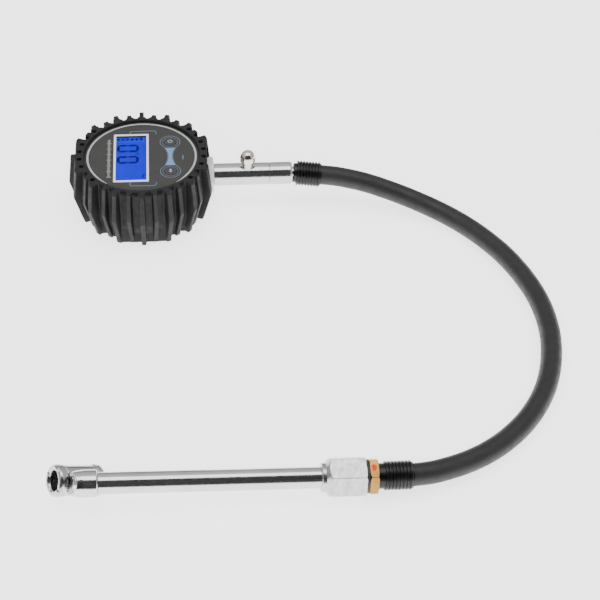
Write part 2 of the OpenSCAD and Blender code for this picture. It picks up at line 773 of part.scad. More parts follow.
module bleed_button() {
    r = button_d / 2;
    skirt = boss_top - 1.1;
    shoulder = button_top - 4.5;
    dome_h = button_top - shoulder;
    color("#cfc6b8") translate([bleed_x, 0, stem_z]) difference() {
        rotate_extrude() polygon(concat([[0, skirt], [r - 0.2, skirt], [r, skirt + 0.2]],
            [for (a = [0:10:90]) [r * cos(a), shoulder + dome_h * sin(a)]]));
        translate([0, 0, skirt - 1]) cylinder(r = r - button_wall, h = cap_roof - skirt + 1);
        cylinder(d = pin_d + 2 * touch, h = button_top - 2);
    }
}

module bleed_pin() {
    color("#b9b6ae") translate([bleed_x, 0, stem_z]) {
        translate([0, 0, seal_z - touch - disc_t]) cylinder(r = disc_r, h = disc_t);
        translate([0, 0, seal_z - touch - eps]) cylinder(d = pin_d, h = button_top - 2.1 - seal_z);
    }
}

module bleed_seal() {
    color("#151515") translate([bleed_x, 0, stem_z + seal_z]) difference() {
        cylinder(r = disc_r, h = seat_z - seal_z - touch);
        translate([0, 0, -1]) cylinder(d = pin_d + 2 * touch, h = 3);
    }
}

module bleed_spring() {
    color("#b9b9b9") translate([bleed_x, 0, stem_z + guide_top + touch])
        coil(r = boss_r - 1.6, wire = 0.6, h = cap_roof - guide_top - 2 * touch, turns = 4);
}

// A hose barb along X, core radius with three sharp ridges, from x0 to x1
module barb(x0, x1) {
    top = hose_bore / 2 - 0.15;
    pitch = (x1 - x0) / 3;
    for (i = [0:2]) let (a = x0 + i * pitch, b = a + pitch)
        turned([[0, a - eps], [top, a], [barb_core, b - 0.2], [barb_core, b], [0, b]]);
}

module hose_coupling() {
    r = stem_d / 2;
    spigot_x = coupling_x - 6.2;
    color("#e2e2e4") difference() {
        union() {
            stem_frame() turned([[0, spigot_x], [stem_spigot_d / 2 - 0.3, spigot_x],
                [stem_spigot_d / 2, spigot_x + 0.3], [stem_spigot_d / 2, coupling_x], [r - 0.3, coupling_x],
                [r, coupling_x + 0.3], [r, coupling_end - 0.9], [r - 0.25, coupling_end - 0.5],
                [r - 0.5, coupling_end], [0, coupling_end]]);
            upper_ferrule_frame() {
                rod_x(barb_neck_r, -1.2, upper_start - 0.2);
                barb(upper_start - 0.3, upper_start + 9.6);
            }
        }
        stem_frame() rod_x(1.8, spigot_x - 1, coupling_end - 1);
        upper_ferrule_frame() rod_x(1.4, -2.5, upper_end);
    }
}

// A ribbed sleeve along X with a plain collar, [length, radius], at its start
module ferrule(collar) {
    r = ferrule_d / 2;
    collar_l = collar[0];
    collar_r = collar[1];
    total = collar_l + ferrule_l;
    pitch = ferrule_l / ferrule_ribs;
    ribs = [for (i = [0:ferrule_ribs - 1]) let (x = collar_l + i * pitch) each [
        [r - 0.15, x], [r, x + 0.15], [r, x + pitch * 0.45], [r - 0.15, x + pitch * 0.55],
        [r - 0.6, x + pitch * 0.65], [r - 0.6, x + pitch * 0.9]]];
    difference() {
        turned(concat([[0, 0], [collar_r - 0.3, 0], [collar_r, 0.3], [collar_r, collar_l - eps]],
            ribs, [[r - 0.6, total], [0, total]]));
        rod_x(barb_neck_r + fit, -1, collar_l + 1);
        rod_x(ferrule_bore, collar_l + collar_web, total + 1);
    }
}

module upper_ferrule() {
    color("#1c1c1d") upper_ferrule_frame() ferrule(upper_collar);
}

// ---- hose ----

// Direction of the hose at each point, and a level vector across it
function route_dir(i) = let (a = hose_route[max(i - 1, 0)], b = hose_route[min(i + 1, len(hose_route) - 1)])
    (b - a) / norm(b - a);
function across(d) = let (v = cross(d, [0, 0, 1])) v / norm(v);

// One ring of points of a given radius round route point i
function hose_ring(i, r, sides) = let (d = route_dir(i), u = across(d), v = cross(u, d))
    [for (k = [0:sides - 1]) let (a = 360 * (k + 0.5) / sides) hose_route[i] + r * (cos(a) * u + sin(a) * v)];

module hose() {
    sides = 12;
    last = len(hose_route) - 1;
    bore = hose_bore / 2 / cos(15);
    outer = hose_d / 2;
    stops = concat([[2, bore], [1, bore], [0, bore]], [for (i = [0:last]) [i, outer]],
        [[last, bore], [last - 1, bore], [last - 2, bore]]);
    points = [for (s = stops) each hose_ring(s[0], s[1], sides)];
    walls = [for (j = [0:len(stops) - 2], k = [0:sides - 1]) let (m = (k + 1) % sides)
        [j * sides + k, j * sides + m, (j + 1) * sides + m, (j + 1) * sides + k]];
    caps = [[for (k = [sides - 1:-1:0]) k], [for (k = [0:sides - 1]) (len(stops) - 1) * sides + k]];
    color("#353536") polyhedron(points, concat(walls, caps), convexity = 10);
}

// ---- wand ----

module lower_ferrule() {
    color("#1c1c1d") lower_ferrule_frame() ferrule(lower_collar);
}

module barb_fitting() {
    color("#d8b37e") difference() {
        union() {
            wand_frame() {
                rod_x(flange_r, gasket_end, barb_hex_x + eps);
                rotate([hex_roll, 0, 0]) hex_x(barb_af, barb_hex_x, barb_hex_end, 1);
            }
            lower_ferrule_frame() {
                rod_x(barb_neck_r, -1, lower_start - 0.2);
                barb(lower_start - 0.3, lower_start + 9.6);
            }
        }
        wand_frame() rod_x(1.8, gasket_end - 1, barb_hex_end - 1);
        lower_ferrule_frame() rod_x(1.4, -2.5, lower_end);
    }
}

module fitting_washer() {
    color("#232323") wand_frame() difference() {
        rod_x(nut_af / 2 - 0.9, nut_end + touch, nut_end + touch + washer_t);
        rod_x(flange_r + fit, nut_end - 1, nut_end + washer_t + 1);
    }
}

module union_gasket() {
    color("#151515") wand_frame() difference() {
        rod_x(flange_r, flange_x + flange_t + touch, flange_x + flange_t + touch + gasket_t);
        rod_x(tube_bore / 2, flange_x, gasket_end + 1);
    }
}

module union_nut() {
    neck_r = tube_d / 2 + 1.9;
    cone_x = nut_x + 2;
    hex_x0 = nut_x + 4.6;
    color("#dcdcde") wand_frame() difference() {
        union() {
            turned([[0, nut_x], [neck_r - 0.4, nut_x], [neck_r, nut_x + 0.4], [neck_r, cone_x],
                [0, cone_x]]);
            intersection() {
                rotate([hex_roll, 0, 0]) hex_x(nut_af, cone_x - eps, nut_end, 0.9);
                turned([[0, cone_x - 1], [neck_r, cone_x - 1], [neck_r, cone_x],
                    [nut_corner, hex_x0], [nut_corner, nut_end], [0, nut_end]]);
            }
        }
        rod_x(tube_d / 2 + slide, nut_x - 1, flange_x);
        rod_x(flange_r + fit, flange_x - touch, nut_end + 1);
    }
}

module wand_tube() {
    r = tube_d / 2;
    color("#e4e4e6") wand_frame() difference() {
        turned([[0, socket_end - spigot_l + 0.1], [tube_spigot_r, socket_end - spigot_l + 0.1],
            [tube_spigot_r, socket_end + touch], [r - 0.3, socket_end + touch], [r, socket_end + 0.3],
            [r, flange_x], [flange_r, flange_x], [flange_r, flange_x + flange_t], [0, flange_x + flange_t]]);
        rod_x(tube_bore / 2 - 0.6, socket_end - spigot_l - 1, socket_end + 4);
        rod_x(tube_bore / 2, socket_end + 3, flange_x + flange_t + 1);
    }
}

// ---- chuck; Z runs along the barrel, from the front mouth ----

module chuck_body() {
    seat = [socket_end - spigot_l, 0, 0];
    away = seat - chuck_at;
    along = away.x * cos(barrel_tilt) - away.z * sin(barrel_tilt);
    side = away.x * sin(barrel_tilt) + away.z * cos(barrel_tilt);
    s0 = front_flange + touch;
    s1 = s0 + barrel_l - 2 * touch;
    r = barrel_r;
    color("#dadadc") difference() {
        union() {
            barrel_frame() rotate_extrude() polygon([[0, s0], [r - 0.5, s0], [r, s0 + 0.5],
                [r, s1 - 0.5], [r - 0.5, s1], [0, s1]]);
            wand_frame() turned([[0, 6.4], [3, 6.4], [4.4, 7], [5.5, 8.2], [6.2, 9.8],
                [socket_r, 11.4], [socket_r, socket_end - 0.5], [socket_r - 0.5, socket_end],
                [0, socket_end]]);
        }
        barrel_frame() {
            cylinder(r = cap_thread_r + slide, h = inner_l + plunger_gap);
            translate([0, 0, rear_s - inner_l - plunger_gap])
                cylinder(r = cap_thread_r + slide, h = 10);
            cylinder(r = chamber_r, h = web_mid - web_t / 2);
            translate([0, 0, web_mid + web_t / 2]) cylinder(r = chamber_r, h = web_mid);
            cylinder(r = 1.6, h = rear_s);
            // air way from the wand into the barrel
            translate([0, 0, along]) rotate([0, -90, atan2(-away.y, side)])
                cylinder(r = 1.3, h = norm([side, away.y]) + 0.4);
        }
        wand_frame() rod_x(tube_spigot_r + slide, seat.x, socket_end + 1);
    }
}

// A screwed mouth cap: rounded flange with four notches, thread, mouth and seal pocket
module mouth_cap(r, flange_l) {
    r0 = mouth_d / 2;
    difference() {
        rotate_extrude() polygon([[r0 + 0.9, 0], [r - 1.5, 0], [r - 0.9, 0.2], [r - 0.4, 0.6],
            [r - 0.1, 1.2], [r, 1.8], [r, flange_l - 0.4], [r - 0.4, flange_l],
            [cap_thread_r, flange_l], [cap_thread_r, inner_l], [seal_r + touch, inner_l],
            [seal_r + touch, mouth_depth - touch], [r0, mouth_depth - touch], [r0, 1.3],
            [r0 + 0.3, 0.6]]);
        for (i = [0:3]) rotate([0, 0, 45 + i * 90])
            translate([r0, -0.8, -1]) cube([r, 1.6, 1.7]);
    }
}

module mouth_seal() {
    translate([0, 0, mouth_depth]) difference() {
        cylinder(r = seal_r, h = seal_t);
        translate([0, 0, -1]) cylinder(r = 1.8, h = seal_t + 2);
    }
}

// Plunger disc behind the seal, with a pin that stands in the seal's hole
module mouth_plunger() {
    z0 = inner_l + plunger_gap + touch;
    tip = mouth_depth + 0.3;
    translate([0, 0, z0]) cylinder(r = plunger_r, h = plunger_t);
    translate([0, 0, tip]) cylinder(r = 0.9, h = z0 - tip + eps);
}

module mouth_spring() {
    translate([0, 0, web_mid - web_t / 2 - touch - spring_l])
        coil(r = 2.4, wire = 0.45, h = spring_l, turns = 3);
}

// Turns the barrel end for end
module rear_end() {
    barrel_frame() translate([0, 0, rear_s]) rotate([180, 0, 0]) children();
}

module front_cap() {
    color("#dadadc") barrel_frame() mouth_cap(front_cap_r, front_flange);
}

module rear_cap() {
    color("#dadadc") rear_end() mouth_cap(rear_cap_r, rear_flange);
}

module front_seal() {
    color("#1a1a1a") barrel_frame() mouth_seal();
}

module rear_seal() {
    color("#1a1a1a") rear_end() mouth_seal();
}

module front_plunger() {
    color("#c8a765") barrel_frame() mouth_plunger();
}

module rear_plunger() {
    color("#c8a765") rear_end() mouth_plunger();
}

module front_spring() {
    color("#b9b9b9") barrel_frame() mouth_spring();
}

module rear_spring() {
    color("#b9b9b9") rear_end() mouth_spring();
}

rubber_boot();
rear_case();
front_case();
dial_overlay();
display_window();
lcd_glass();
backlight();
display_connector();
circuit_board();
tact_switches();
power_plunger();
unit_plunger();
power_key();
unit_key();
board_screws();
case_screws();
battery_cells();
battery_contacts();
battery_door();
pressure_sensor();
sensor_oring();
port_nut();
port_fitting();
valve_body();
bleed_button();
bleed_pin();
bleed_seal();
bleed_spring();
hose_coupling();
upper_ferrule();
hose();
lower_ferrule();
barb_fitting();
fitting_washer();
union_gasket();
union_nut();
wand_tube();
chuck_body();
front_cap();
rear_cap();
front_seal();
rear_seal();
front_plunger();
rear_plunger();
front_spring();
rear_spring();
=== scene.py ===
"""Looks of the tyre pressure gauge: camera, materials, hose, skins, springs, dial print and light."""
import math

import bmesh
import bpy
from mathutils import Matrix, Vector


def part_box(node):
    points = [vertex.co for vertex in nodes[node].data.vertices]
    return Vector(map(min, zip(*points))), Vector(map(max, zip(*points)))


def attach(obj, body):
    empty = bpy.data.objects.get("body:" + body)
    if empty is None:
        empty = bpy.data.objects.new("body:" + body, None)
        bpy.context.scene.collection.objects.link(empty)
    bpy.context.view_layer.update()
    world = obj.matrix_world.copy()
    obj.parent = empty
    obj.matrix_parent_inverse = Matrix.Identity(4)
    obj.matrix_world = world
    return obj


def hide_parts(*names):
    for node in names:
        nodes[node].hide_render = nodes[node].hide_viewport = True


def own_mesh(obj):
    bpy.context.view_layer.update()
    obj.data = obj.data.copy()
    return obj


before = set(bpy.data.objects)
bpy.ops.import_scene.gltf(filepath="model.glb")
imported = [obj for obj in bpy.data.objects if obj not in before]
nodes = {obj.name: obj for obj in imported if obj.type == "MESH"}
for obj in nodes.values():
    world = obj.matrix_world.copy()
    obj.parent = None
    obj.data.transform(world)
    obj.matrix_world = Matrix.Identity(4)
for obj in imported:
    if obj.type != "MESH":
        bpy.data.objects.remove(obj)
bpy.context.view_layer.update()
MM = 0.001


# ---- camera ----

def make_camera():
    data = bpy.data.cameras.new("camera")
    data.sensor_width = 36.0
    data.lens = 99.48
    data.clip_start = 0.05
    data.clip_end = 30.0
    obj = bpy.data.objects.new("camera", data)
    right = Vector((0.99728, -0.07009, 0.02262))
    up = Vector((0.03084, 0.67644, 0.73585))
    back = Vector((-0.06688, -0.73316, 0.67676))
    place = Matrix((right, up, back)).transposed().to_4x4()
    place.translation = Vector((0.02344, -0.72923, 0.59598))
    obj.matrix_world = place
    bpy.context.collection.objects.link(obj)
    bpy.context.scene.camera = obj


make_camera()


def mesh_object(name, verts, faces):
    """A new object in the scene from points in metres."""
    mesh = bpy.data.meshes.new(name)
    mesh.from_pydata(verts, [], faces)
    obj = bpy.data.objects.new(name, mesh)
    bpy.context.collection.objects.link(obj)
    return obj


def turn_faces_out(mesh):
    bm = bmesh.new()
    bm.from_mesh(mesh)
    bmesh.ops.recalc_face_normals(bm, faces=bm.faces)
    bm.to_mesh(mesh)
    bm.free()


# ---- materials ----

class Look:
    """A Principled material with helpers for procedural colour, roughness and bump."""

    def __init__(self, name, color, rough, metal=0.0, spec=0.5):
        self.mat = bpy.data.materials.new(name)
        self.mat.use_nodes = True
        self.tree = self.mat.node_tree
        self.shader = self.tree.nodes["Principled BSDF"]
        self.set("Base Color", (*color, 1))
        self.set("Roughness", rough)
        self.set("Metallic", metal)
        self.set("Specular IOR Level", spec)
        self.mat.diffuse_color = (*color, 1)
        self.coords = self.node("ShaderNodeTexCoord").outputs["Object"]

    def set(self, socket, value):
        self.shader.inputs[socket].default_value = value
        return self

    def node(self, kind, **props):
        n = self.tree.nodes.new(kind)
        for k, v in props.items():
            setattr(n, k, v)
        return n

    def link(self, a, b):
        self.tree.links.new(a, b)

    def noise(self, scale, detail=3.0, rough=0.5, stretch=None, warp=0.0):
        n = self.node("ShaderNodeTexNoise")
        n.inputs["Scale"].default_value = scale
        n.inputs["Detail"].default_value = detail
        n.inputs["Roughness"].default_value = rough
        n.inputs["Distortion"].default_value = warp
        src = self.coords
        if stretch:
            m = self.node("ShaderNodeMapping")
            m.inputs["Scale"].default_value = stretch
            self.link(src, m.inputs["Vector"])
            src = m.outputs["Vector"]
        self.link(src, n.inputs["Vector"])
        return n.outputs["Fac"]

    def span(self, value, a, b, lo, hi):
        n = self.node("ShaderNodeMapRange", clamp=True)
        n.inputs["From Min"].default_value = a
        n.inputs["From Max"].default_value = b
        n.inputs["To Min"].default_value = lo
        n.inputs["To Max"].default_value = hi
        self.link(value, n.inputs["Value"])
        return n.outputs["Result"]

    def mix(self, factor, a, b):
        n = self.node("ShaderNodeMix", data_type="RGBA")
        self.link(factor, n.inputs["Factor"])
        for socket, value in ((n.inputs["A"], a), (n.inputs["B"], b)):
            if isinstance(value, tuple):
                socket.default_value = (*value, 1)
            else:
                self.link(value, socket)
        return n.outputs["Result"]

    def color_from(self, out):
        self.link(out, self.shader.inputs["Base Color"])
        return self

    def rough_from(self, out):
        self.link(out, self.shader.inputs["Roughness"])
        return self

    def bump(self, height, strength, depth):
        n = self.node("ShaderNodeBump")
        n.inputs["Strength"].default_value = strength
        n.inputs["Distance"].default_value = depth
        self.link(height, n.inputs["Height"])
        self.link(n.outputs["Normal"], self.shader.inputs["Normal"])
        return self

    def axis(self, which):
        n = self.node("ShaderNodeSeparateXYZ")
        self.link(self.coords, n.inputs["Vector"])
        return n.outputs[which]


def rubber(name, dark, light, rough, grain, depth=0.00008):
    """Cloudy dark rubber with a fine grain."""
    look = Look(name, dark, rough[0], spec=0.45)
    look.color_from(look.mix(look.span(look.noise(90, 4, 0.6), 0.3, 0.7, 0, 1), dark, light))
    look.rough_from(look.span(look.noise(260, 3), 0.3, 0.7, *rough))
    return look.bump(look.noise(grain, 3, 0.6), 0.45, depth)


def metal(name, color, tint, rough, grain=(1, 1, 1), depth=0.00001, strength=0.15):
    look = Look(name, color, rough[0], metal=1.0)
    look.color_from(look.mix(look.span(look.noise(70, 3), 0.3, 0.7, 0, 1), color, tint))
    look.rough_from(look.span(look.noise(500, 4, 0.6, stretch=grain), 0.35, 0.7, *rough))
    return look.bump(look.noise(2600, 3, 0.6, stretch=grain), strength, depth)


def plastic(name, color, tint, rough, grain=1800, depth=0.00004, spec=0.5):
    look = Look(name, color, rough[0], spec=spec)
    look.color_from(look.mix(look.span(look.noise(120, 3), 0.3, 0.7, 0, 1), color, tint))
    look.rough_from(look.span(look.noise(400, 3), 0.3, 0.7, *rough))
    return look.bump(look.noise(grain, 2, 0.5), 0.3, depth)


def boot_rubber():
    look = Look("boot_rubber", (0.012, 0.012, 0.013), 0.6, spec=0.24)
    patch = look.span(look.noise(70, 4, 0.6), 0.3, 0.7, 0, 1)
    base = look.mix(patch, (0.008, 0.008, 0.0085), (0.013, 0.013, 0.0135))
    # the moulded top and the outer ribs are made paler: partly wear from hands and benches, partly painted
    # light falling on the top
    top = look.span(look.axis("Z"), 0.0335, 0.0362, 0, 0.55)
    # paler towards the top: part wear, part painted top light
    worn_and_top_lit = look.mix(top, base, (0.022, 0.022, 0.023))
    scuff = look.span(look.noise(900, 6, 0.7, stretch=(1, 1, 0.4)), 0.62, 0.75, 0, 0.35)
    look.color_from(look.mix(scuff, worn_and_top_lit, (0.036, 0.035, 0.034)))
    look.rough_from(look.span(look.noise(300, 3), 0.3, 0.7, 0.48, 0.66))
    return look.bump(look.noise(2400, 3, 0.6), 0.4, 0.00006)


def display_blue():
    look = Look("lcd", (0.0, 0.002, 0.30), 0.5, spec=0.03)
    wash = look.span(look.noise(55, 2), 0.3, 0.7, 0, 1)
    look.color_from(look.mix(wash, (0.0, 0.002, 0.30), (0.0, 0.004, 0.38)))
    look.link(look.mix(wash, (0.002, 0.006, 0.85), (0.004, 0.012, 1.0)), look.shader.inputs["Emission Color"])
    return look.set("Emission Strength", 0.62)


def clear_window():
    look = Look("window_clear", (1.0, 1.0, 1.0), 0.0, spec=0.3)
    look.set("Transmission Weight", 1.0).set("IOR", 1.12)
    look.rough_from(look.span(look.noise(300, 3), 0.4, 0.8, 0.0, 0.03))
    return look


def worn_chrome():
    """Plating over a machined casting: fine mottling, small pits and duller patches."""
    look = Look("chrome_worn", (0.55, 0.55, 0.555), 0.25, metal=1.0)
    patch = look.span(look.noise(260, 5, 0.65), 0.35, 0.68, 0, 1)
    tone = look.mix(patch, (0.40, 0.40, 0.405), (0.60, 0.60, 0.605))
    pits = look.span(look.noise(1500, 5, 0.7), 0.60, 0.72, 0, 0.55)
    look.color_from(look.mix(pits, tone, (0.30, 0.30, 0.31)))
    look.rough_from(look.span(look.noise(420, 4, 0.6), 0.35, 0.7, 0.13, 0.36))
    return look.bump(look.noise(1300, 4, 0.65), 0.6, 0.00006)


def print_ink(name, color, tint, rough=0.5, spec=0.4):
    look = Look(name, color, rough, spec=spec)
    return look.color_from(look.mix(look.span(look.noise(700, 3), 0.35, 0.65, 0, 1), color, tint))


MATS = {
    "boot_rubber": boot_rubber(),
    "hose_rubber": rubber("hose_rubber", (0.008, 0.008, 0.0085), (0.013, 0.013, 0.0135), (0.46, 0.60), 1900),
    "seal_rubber": rubber("seal_rubber", (0.016, 0.016, 0.012), (0.024, 0.024, 0.018), (0.5, 0.65), 2200),
    "key_rubber": rubber("key_rubber", (0.036, 0.039, 0.043), (0.046, 0.049, 0.054), (0.5, 0.62), 2200),
    "washer_dark": rubber("washer_dark", (0.020, 0.020, 0.021), (0.030, 0.030, 0.031), (0.42, 0.6), 1700),
    "case_plastic": plastic("case_plastic", (0.022, 0.023, 0.025), (0.030, 0.031, 0.033), (0.42, 0.55)),
    "dial_sheet": plastic("dial_sheet", (0.040, 0.040, 0.039), (0.045, 0.045, 0.044),
                          (0.50, 0.60), 2600, 0.00002, 0.3),
    "window_clear": clear_window(),
    "lcd": display_blue(),
    "light_guide": plastic("light_guide", (0.55, 0.70, 0.95), (0.60, 0.75, 1.0), (0.2, 0.3)),
    "zebra": plastic("zebra", (0.30, 0.30, 0.32), (0.45, 0.45, 0.47), (0.5, 0.6)),
    "board": plastic("board", (0.010, 0.110, 0.040), (0.014, 0.140, 0.050), (0.3, 0.42)),
    "switch_body": plastic("switch_body", (0.010, 0.010, 0.010), (0.018, 0.018, 0.018), (0.4, 0.5)),
    "plunger_plastic": plastic("plunger_plastic", (0.50, 0.42, 0.28), (0.56, 0.48, 0.33), (0.4, 0.5)),
    "cell": plastic("cell", (0.18, 0.22, 0.26), (0.22, 0.26, 0.30), (0.25, 0.35)),
    "screw_steel": metal("screw_steel", (0.46, 0.46, 0.47), (0.55, 0.55, 0.56), (0.25, 0.40)),
    "spring_steel": metal("spring_steel", (0.52, 0.52, 0.52), (0.60, 0.60, 0.60), (0.22, 0.34)),
    "sensor_metal": metal("sensor_metal", (0.50, 0.51, 0.53), (0.58, 0.59, 0.61), (0.25, 0.38)),
    "port_metal": plastic("port_metal", (0.74, 0.72, 0.70), (0.82, 0.80, 0.78),
                          (0.30, 0.42), 900, 0.00003, 0.7),
    "button_metal": metal("button_metal", (0.66, 0.60, 0.53), (0.74, 0.68, 0.61), (0.14, 0.24)),
    "chrome": metal("chrome", (0.54, 0.54, 0.545), (0.62, 0.62, 0.625), (0.10, 0.20)),
    "chrome_worn": worn_chrome(),
    "ferrule_black": metal("ferrule_black", (0.030, 0.030, 0.031), (0.045, 0.045, 0.046),
                           (0.30, 0.42), (0.2, 1, 1)),
    "brass": metal("brass", (0.31, 0.16, 0.038), (0.44, 0.255, 0.08), (0.20, 0.34), (1, 1, 1), 0.00003, 0.4),
    "brass_dark": metal("brass_dark", (0.10, 0.085, 0.05), (0.16, 0.13, 0.08), (0.40, 0.55)),
    "ink_white": print_ink("ink_white", (0.80, 0.80, 0.88), (0.86, 0.86, 0.93)),
    "ink_silver": print_ink("ink_silver", (0.42, 0.42, 0.41), (0.48, 0.48, 0.47), 0.4),
    "ink_steel": print_ink("ink_steel", (0.105, 0.145, 0.195), (0.125, 0.165, 0.22)),
    "ink_blue": print_ink("ink_blue", (0.145, 0.27, 0.45), (0.17, 0.30, 0.50)),
    "ink_dark_blue": print_ink("ink_dark_blue", (0.0, 0.0, 0.09), (0.0, 0.0, 0.12), 0.6, 0.03),
    "ink_pale_blue": print_ink("ink_pale_blue", (0.02, 0.05, 0.85), (0.03, 0.06, 0.95), 0.5, 0.1),
    "paint_red": print_ink("paint_red", (0.58, 0.032, 0.004), (0.70, 0.06, 0.010), 0.35, 0.2),
}

NODE_LOOK = {
    "rubber_boot": "boot_rubber", "rear_case": "case_plastic", "front_case": "case_plastic",
    "dial_overlay": "dial_sheet", "display_window": "window_clear", "lcd_glass": "lcd",
    "backlight": "light_guide", "display_connector": "zebra", "circuit_board": "board",
    "tact_switches": "switch_body", "power_plunger": "plunger_plastic",
    "unit_plunger": "plunger_plastic", "power_key": "key_rubber", "unit_key": "key_rubber",
    "board_screws": "screw_steel", "case_screws": "screw_steel", "battery_cells": "cell",
    "battery_contacts": "spring_steel", "battery_door": "case_plastic",
    "pressure_sensor": "sensor_metal", "sensor_oring": "seal_rubber", "port_nut": "port_metal",
    "port_fitting": "port_metal", "valve_body": "chrome", "bleed_button": "button_metal",
    "bleed_pin": "port_metal", "bleed_seal": "seal_rubber", "bleed_spring": "spring_steel",
    "hose_coupling": "chrome", "upper_ferrule": "ferrule_black", "hose": "hose_rubber",
    "lower_ferrule": "ferrule_black", "barb_fitting": "brass", "fitting_washer": "washer_dark",
    "union_gasket": "seal_rubber", "union_nut": "chrome_worn", "wand_tube": "chrome",
    "chuck_body": "chrome", "front_cap": "chrome", "rear_cap": "chrome",
    "front_seal": "seal_rubber", "rear_seal": "seal_rubber", "front_plunger": "brass_dark",
    "rear_plunger": "brass_dark", "front_spring": "spring_steel", "rear_spring": "spring_steel",
}
for node, slot in NODE_LOOK.items():
    for s in nodes[node].material_slots:
        s.material = MATS[slot].mat


# ---- pieces ----

def finish_piece(obj, look, body):
    obj.data.materials.clear()
    obj.data.materials.append(MATS[look].mat)
    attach(obj, body)
    return obj


class Shape:
    """Collects thin prisms in one mesh. Points are in millimetres."""

    def __init__(self):
        self.verts = []
        self.faces = []

    def prism(self, outline, z0, z1):
        n, at = len(outline), len(self.verts)
        self.verts += [(x, y, z) for z in (z0, z1) for x, y in outline]
        self.faces.append([at + n - 1 - i for i in range(n)])
        self.faces.append([at + n + i for i in range(n)])
        for i in range(n):
            j = (i + 1) % n
            self.faces.append([at + i, at + j, at + n + j, at + n + i])
        return self

    def band(self, outer, inner, z0, z1, closed=True):
        """A prism between two outlines of as many points."""
        n, at = len(outer), len(self.verts)
        for z in (z0, z1):
            self.verts += [(x, y, z) for x, y in outer] + [(x, y, z) for x, y in inner]
        o0, i0, o1, i1 = at, at + n, at + 2 * n, at + 3 * n
        for i in range(n if closed else n - 1):
            j = (i + 1) % n
            self.faces += [[o0 + i, o0 + j, o1 + j, o1 + i], [i0 + j, i0 + i, i1 + i, i1 + j],
                           [o1 + i, o1 + j, i1 + j, i1 + i], [o0 + j, o0 + i, i0 + i, i0 + j]]
        if not closed:
            m = n - 1
            self.faces += [[o0, o1, i1, i0], [o0 + m, i0 + m, i1 + m, o1 + m]]
        return self

    def stroke(self, path, width, z0, z1):
        """A line of a width, or of one width per point."""
        widths = width if isinstance(width, list) else [width] * len(path)
        left, right = [], []
        for i, p in enumerate(path):
            a, b = Vector(path[max(i - 1, 0)]), Vector(path[min(i + 1, len(path) - 1)])
            d = (b - a).normalized()
            side = Vector((-d.y, d.x)) * widths[i] / 2
            left.append((p[0] + side.x, p[1] + side.y))
            right.append((p[0] - side.x, p[1] - side.y))
        return self.band(right, left, z0, z1, closed=False)

    def make(self, name, look, body, slot):
        obj = mesh_object(name, [Vector(v) * MM for v in self.verts], self.faces)
        obj.data.validate()
        turn_faces_out(obj.data)
        return finish_piece(obj, look, body)


def arc(cx, cy, r, a0, a1, n):
    return [(cx + r * math.cos(math.radians(a0 + (a1 - a0) * i / n)),
             cy + r * math.sin(math.radians(a0 + (a1 - a0) * i / n))) for i in range(n + 1)]


def circle(cx, cy, r, n=64):
    return arc(cx, cy, r, 0, 360, n)[:-1]


def rounded(cx, cy, w, l, r, n=6):
    out = []
    for sx, sy, a in ((1, 1, 0), (-1, 1, 90), (-1, -1, 180), (1, -1, 270)):
        out += arc(cx + sx * (w / 2 - r), cy + sy * (l / 2 - r), r, a, a + 90, n)
    return out


def box_mm(node):
    lo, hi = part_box(node)
    return Vector(lo) / MM, Vector(hi) / MM


# ---- hose ----

HOSE_ROUTE = [
    (0.08633, -0.00011, 0.01993), (0.09269, -0.00039, 0.01926), (0.09905, -0.00067, 0.01859),
    (0.10700, -0.00140, 0.01795), (0.11550, -0.00260, 0.01672), (0.12450, -0.00430, 0.01503),
    (0.13450, -0.00690, 0.01267), (0.14450, -0.01030, 0.01031), (0.15430, -0.01460, 0.00815),
    (0.16360, -0.02020, 0.00664), (0.17240, -0.02750, 0.00589), (0.18070, -0.03660, 0.00570),
    (0.18820, -0.04690, 0.00570), (0.19490, -0.05800, 0.00570), (0.20030, -0.06980, 0.00570),
    (0.20460, -0.08200, 0.00570), (0.20770, -0.09480, 0.00570), (0.20920, -0.10800, 0.00570),
    (0.20920, -0.12140, 0.00570), (0.20750, -0.13480, 0.00570), (0.20440, -0.14780, 0.00570),
    (0.19990, -0.16000, 0.00570), (0.19410, -0.17100, 0.00570), (0.18730, -0.18080, 0.00570),
    (0.17960, -0.18940, 0.00570), (0.17100, -0.19700, 0.00581), (0.16180, -0.20350, 0.00627),
    (0.15200, -0.20890, 0.00696), (0.14250, -0.21290, 0.00776), (0.13450, -0.21540, 0.00833),
    (0.12559, -0.21681, 0.00898), (0.11921, -0.21712, 0.00935), (0.11283, -0.21743, 0.00972),
]


HOSE_SKIN_R = 0.00549


def smooth_path(points, steps):
    """A curve through the points with its tangents from each point's neighbours."""
    pts = [Vector(p) for p in points]
    out = []
    for i in range(len(pts) - 1):
        p0, p1, p2, p3 = pts[max(i - 1, 0)], pts[i], pts[i + 1], pts[min(i + 2, len(pts) - 1)]
        for k in range(steps):
            t = k / steps
            out.append(0.5 * (2 * p1 + (p2 - p0) * t + (2 * p0 - 5 * p1 + 4 * p2 - p3) * t ** 2
                              + (3 * p1 - p0 - 3 * p2 + p3) * t ** 3))
    return out + [pts[-1]]


def tube(name, path, radius, sides):
    verts, faces = [], []
    for i, p in enumerate(path):
        d = (path[min(i + 1, len(path) - 1)] - path[max(i - 1, 0)]).normalized()
        u = d.cross(Vector((0, 0, 1))).normalized()
        v = u.cross(d)
        for k in range(sides):
            a = 2 * math.pi * k / sides
            verts.append(p + radius * (math.cos(a) * u + math.sin(a) * v))
    for i in range(len(path) - 1):
        for k in range(sides):
            m = (k + 1) % sides
            faces.append([i * sides + k, i * sides + m, (i + 1) * sides + m, (i + 1) * sides + k])
    last = (len(path) - 1) * sides
    faces.append([sides - 1 - k for k in range(sides)])
    faces.append([last + k for k in range(sides)])
    obj = mesh_object(name, verts, faces)
    for p in obj.data.polygons:
        p.use_smooth = len(p.vertices) == 4
    return obj


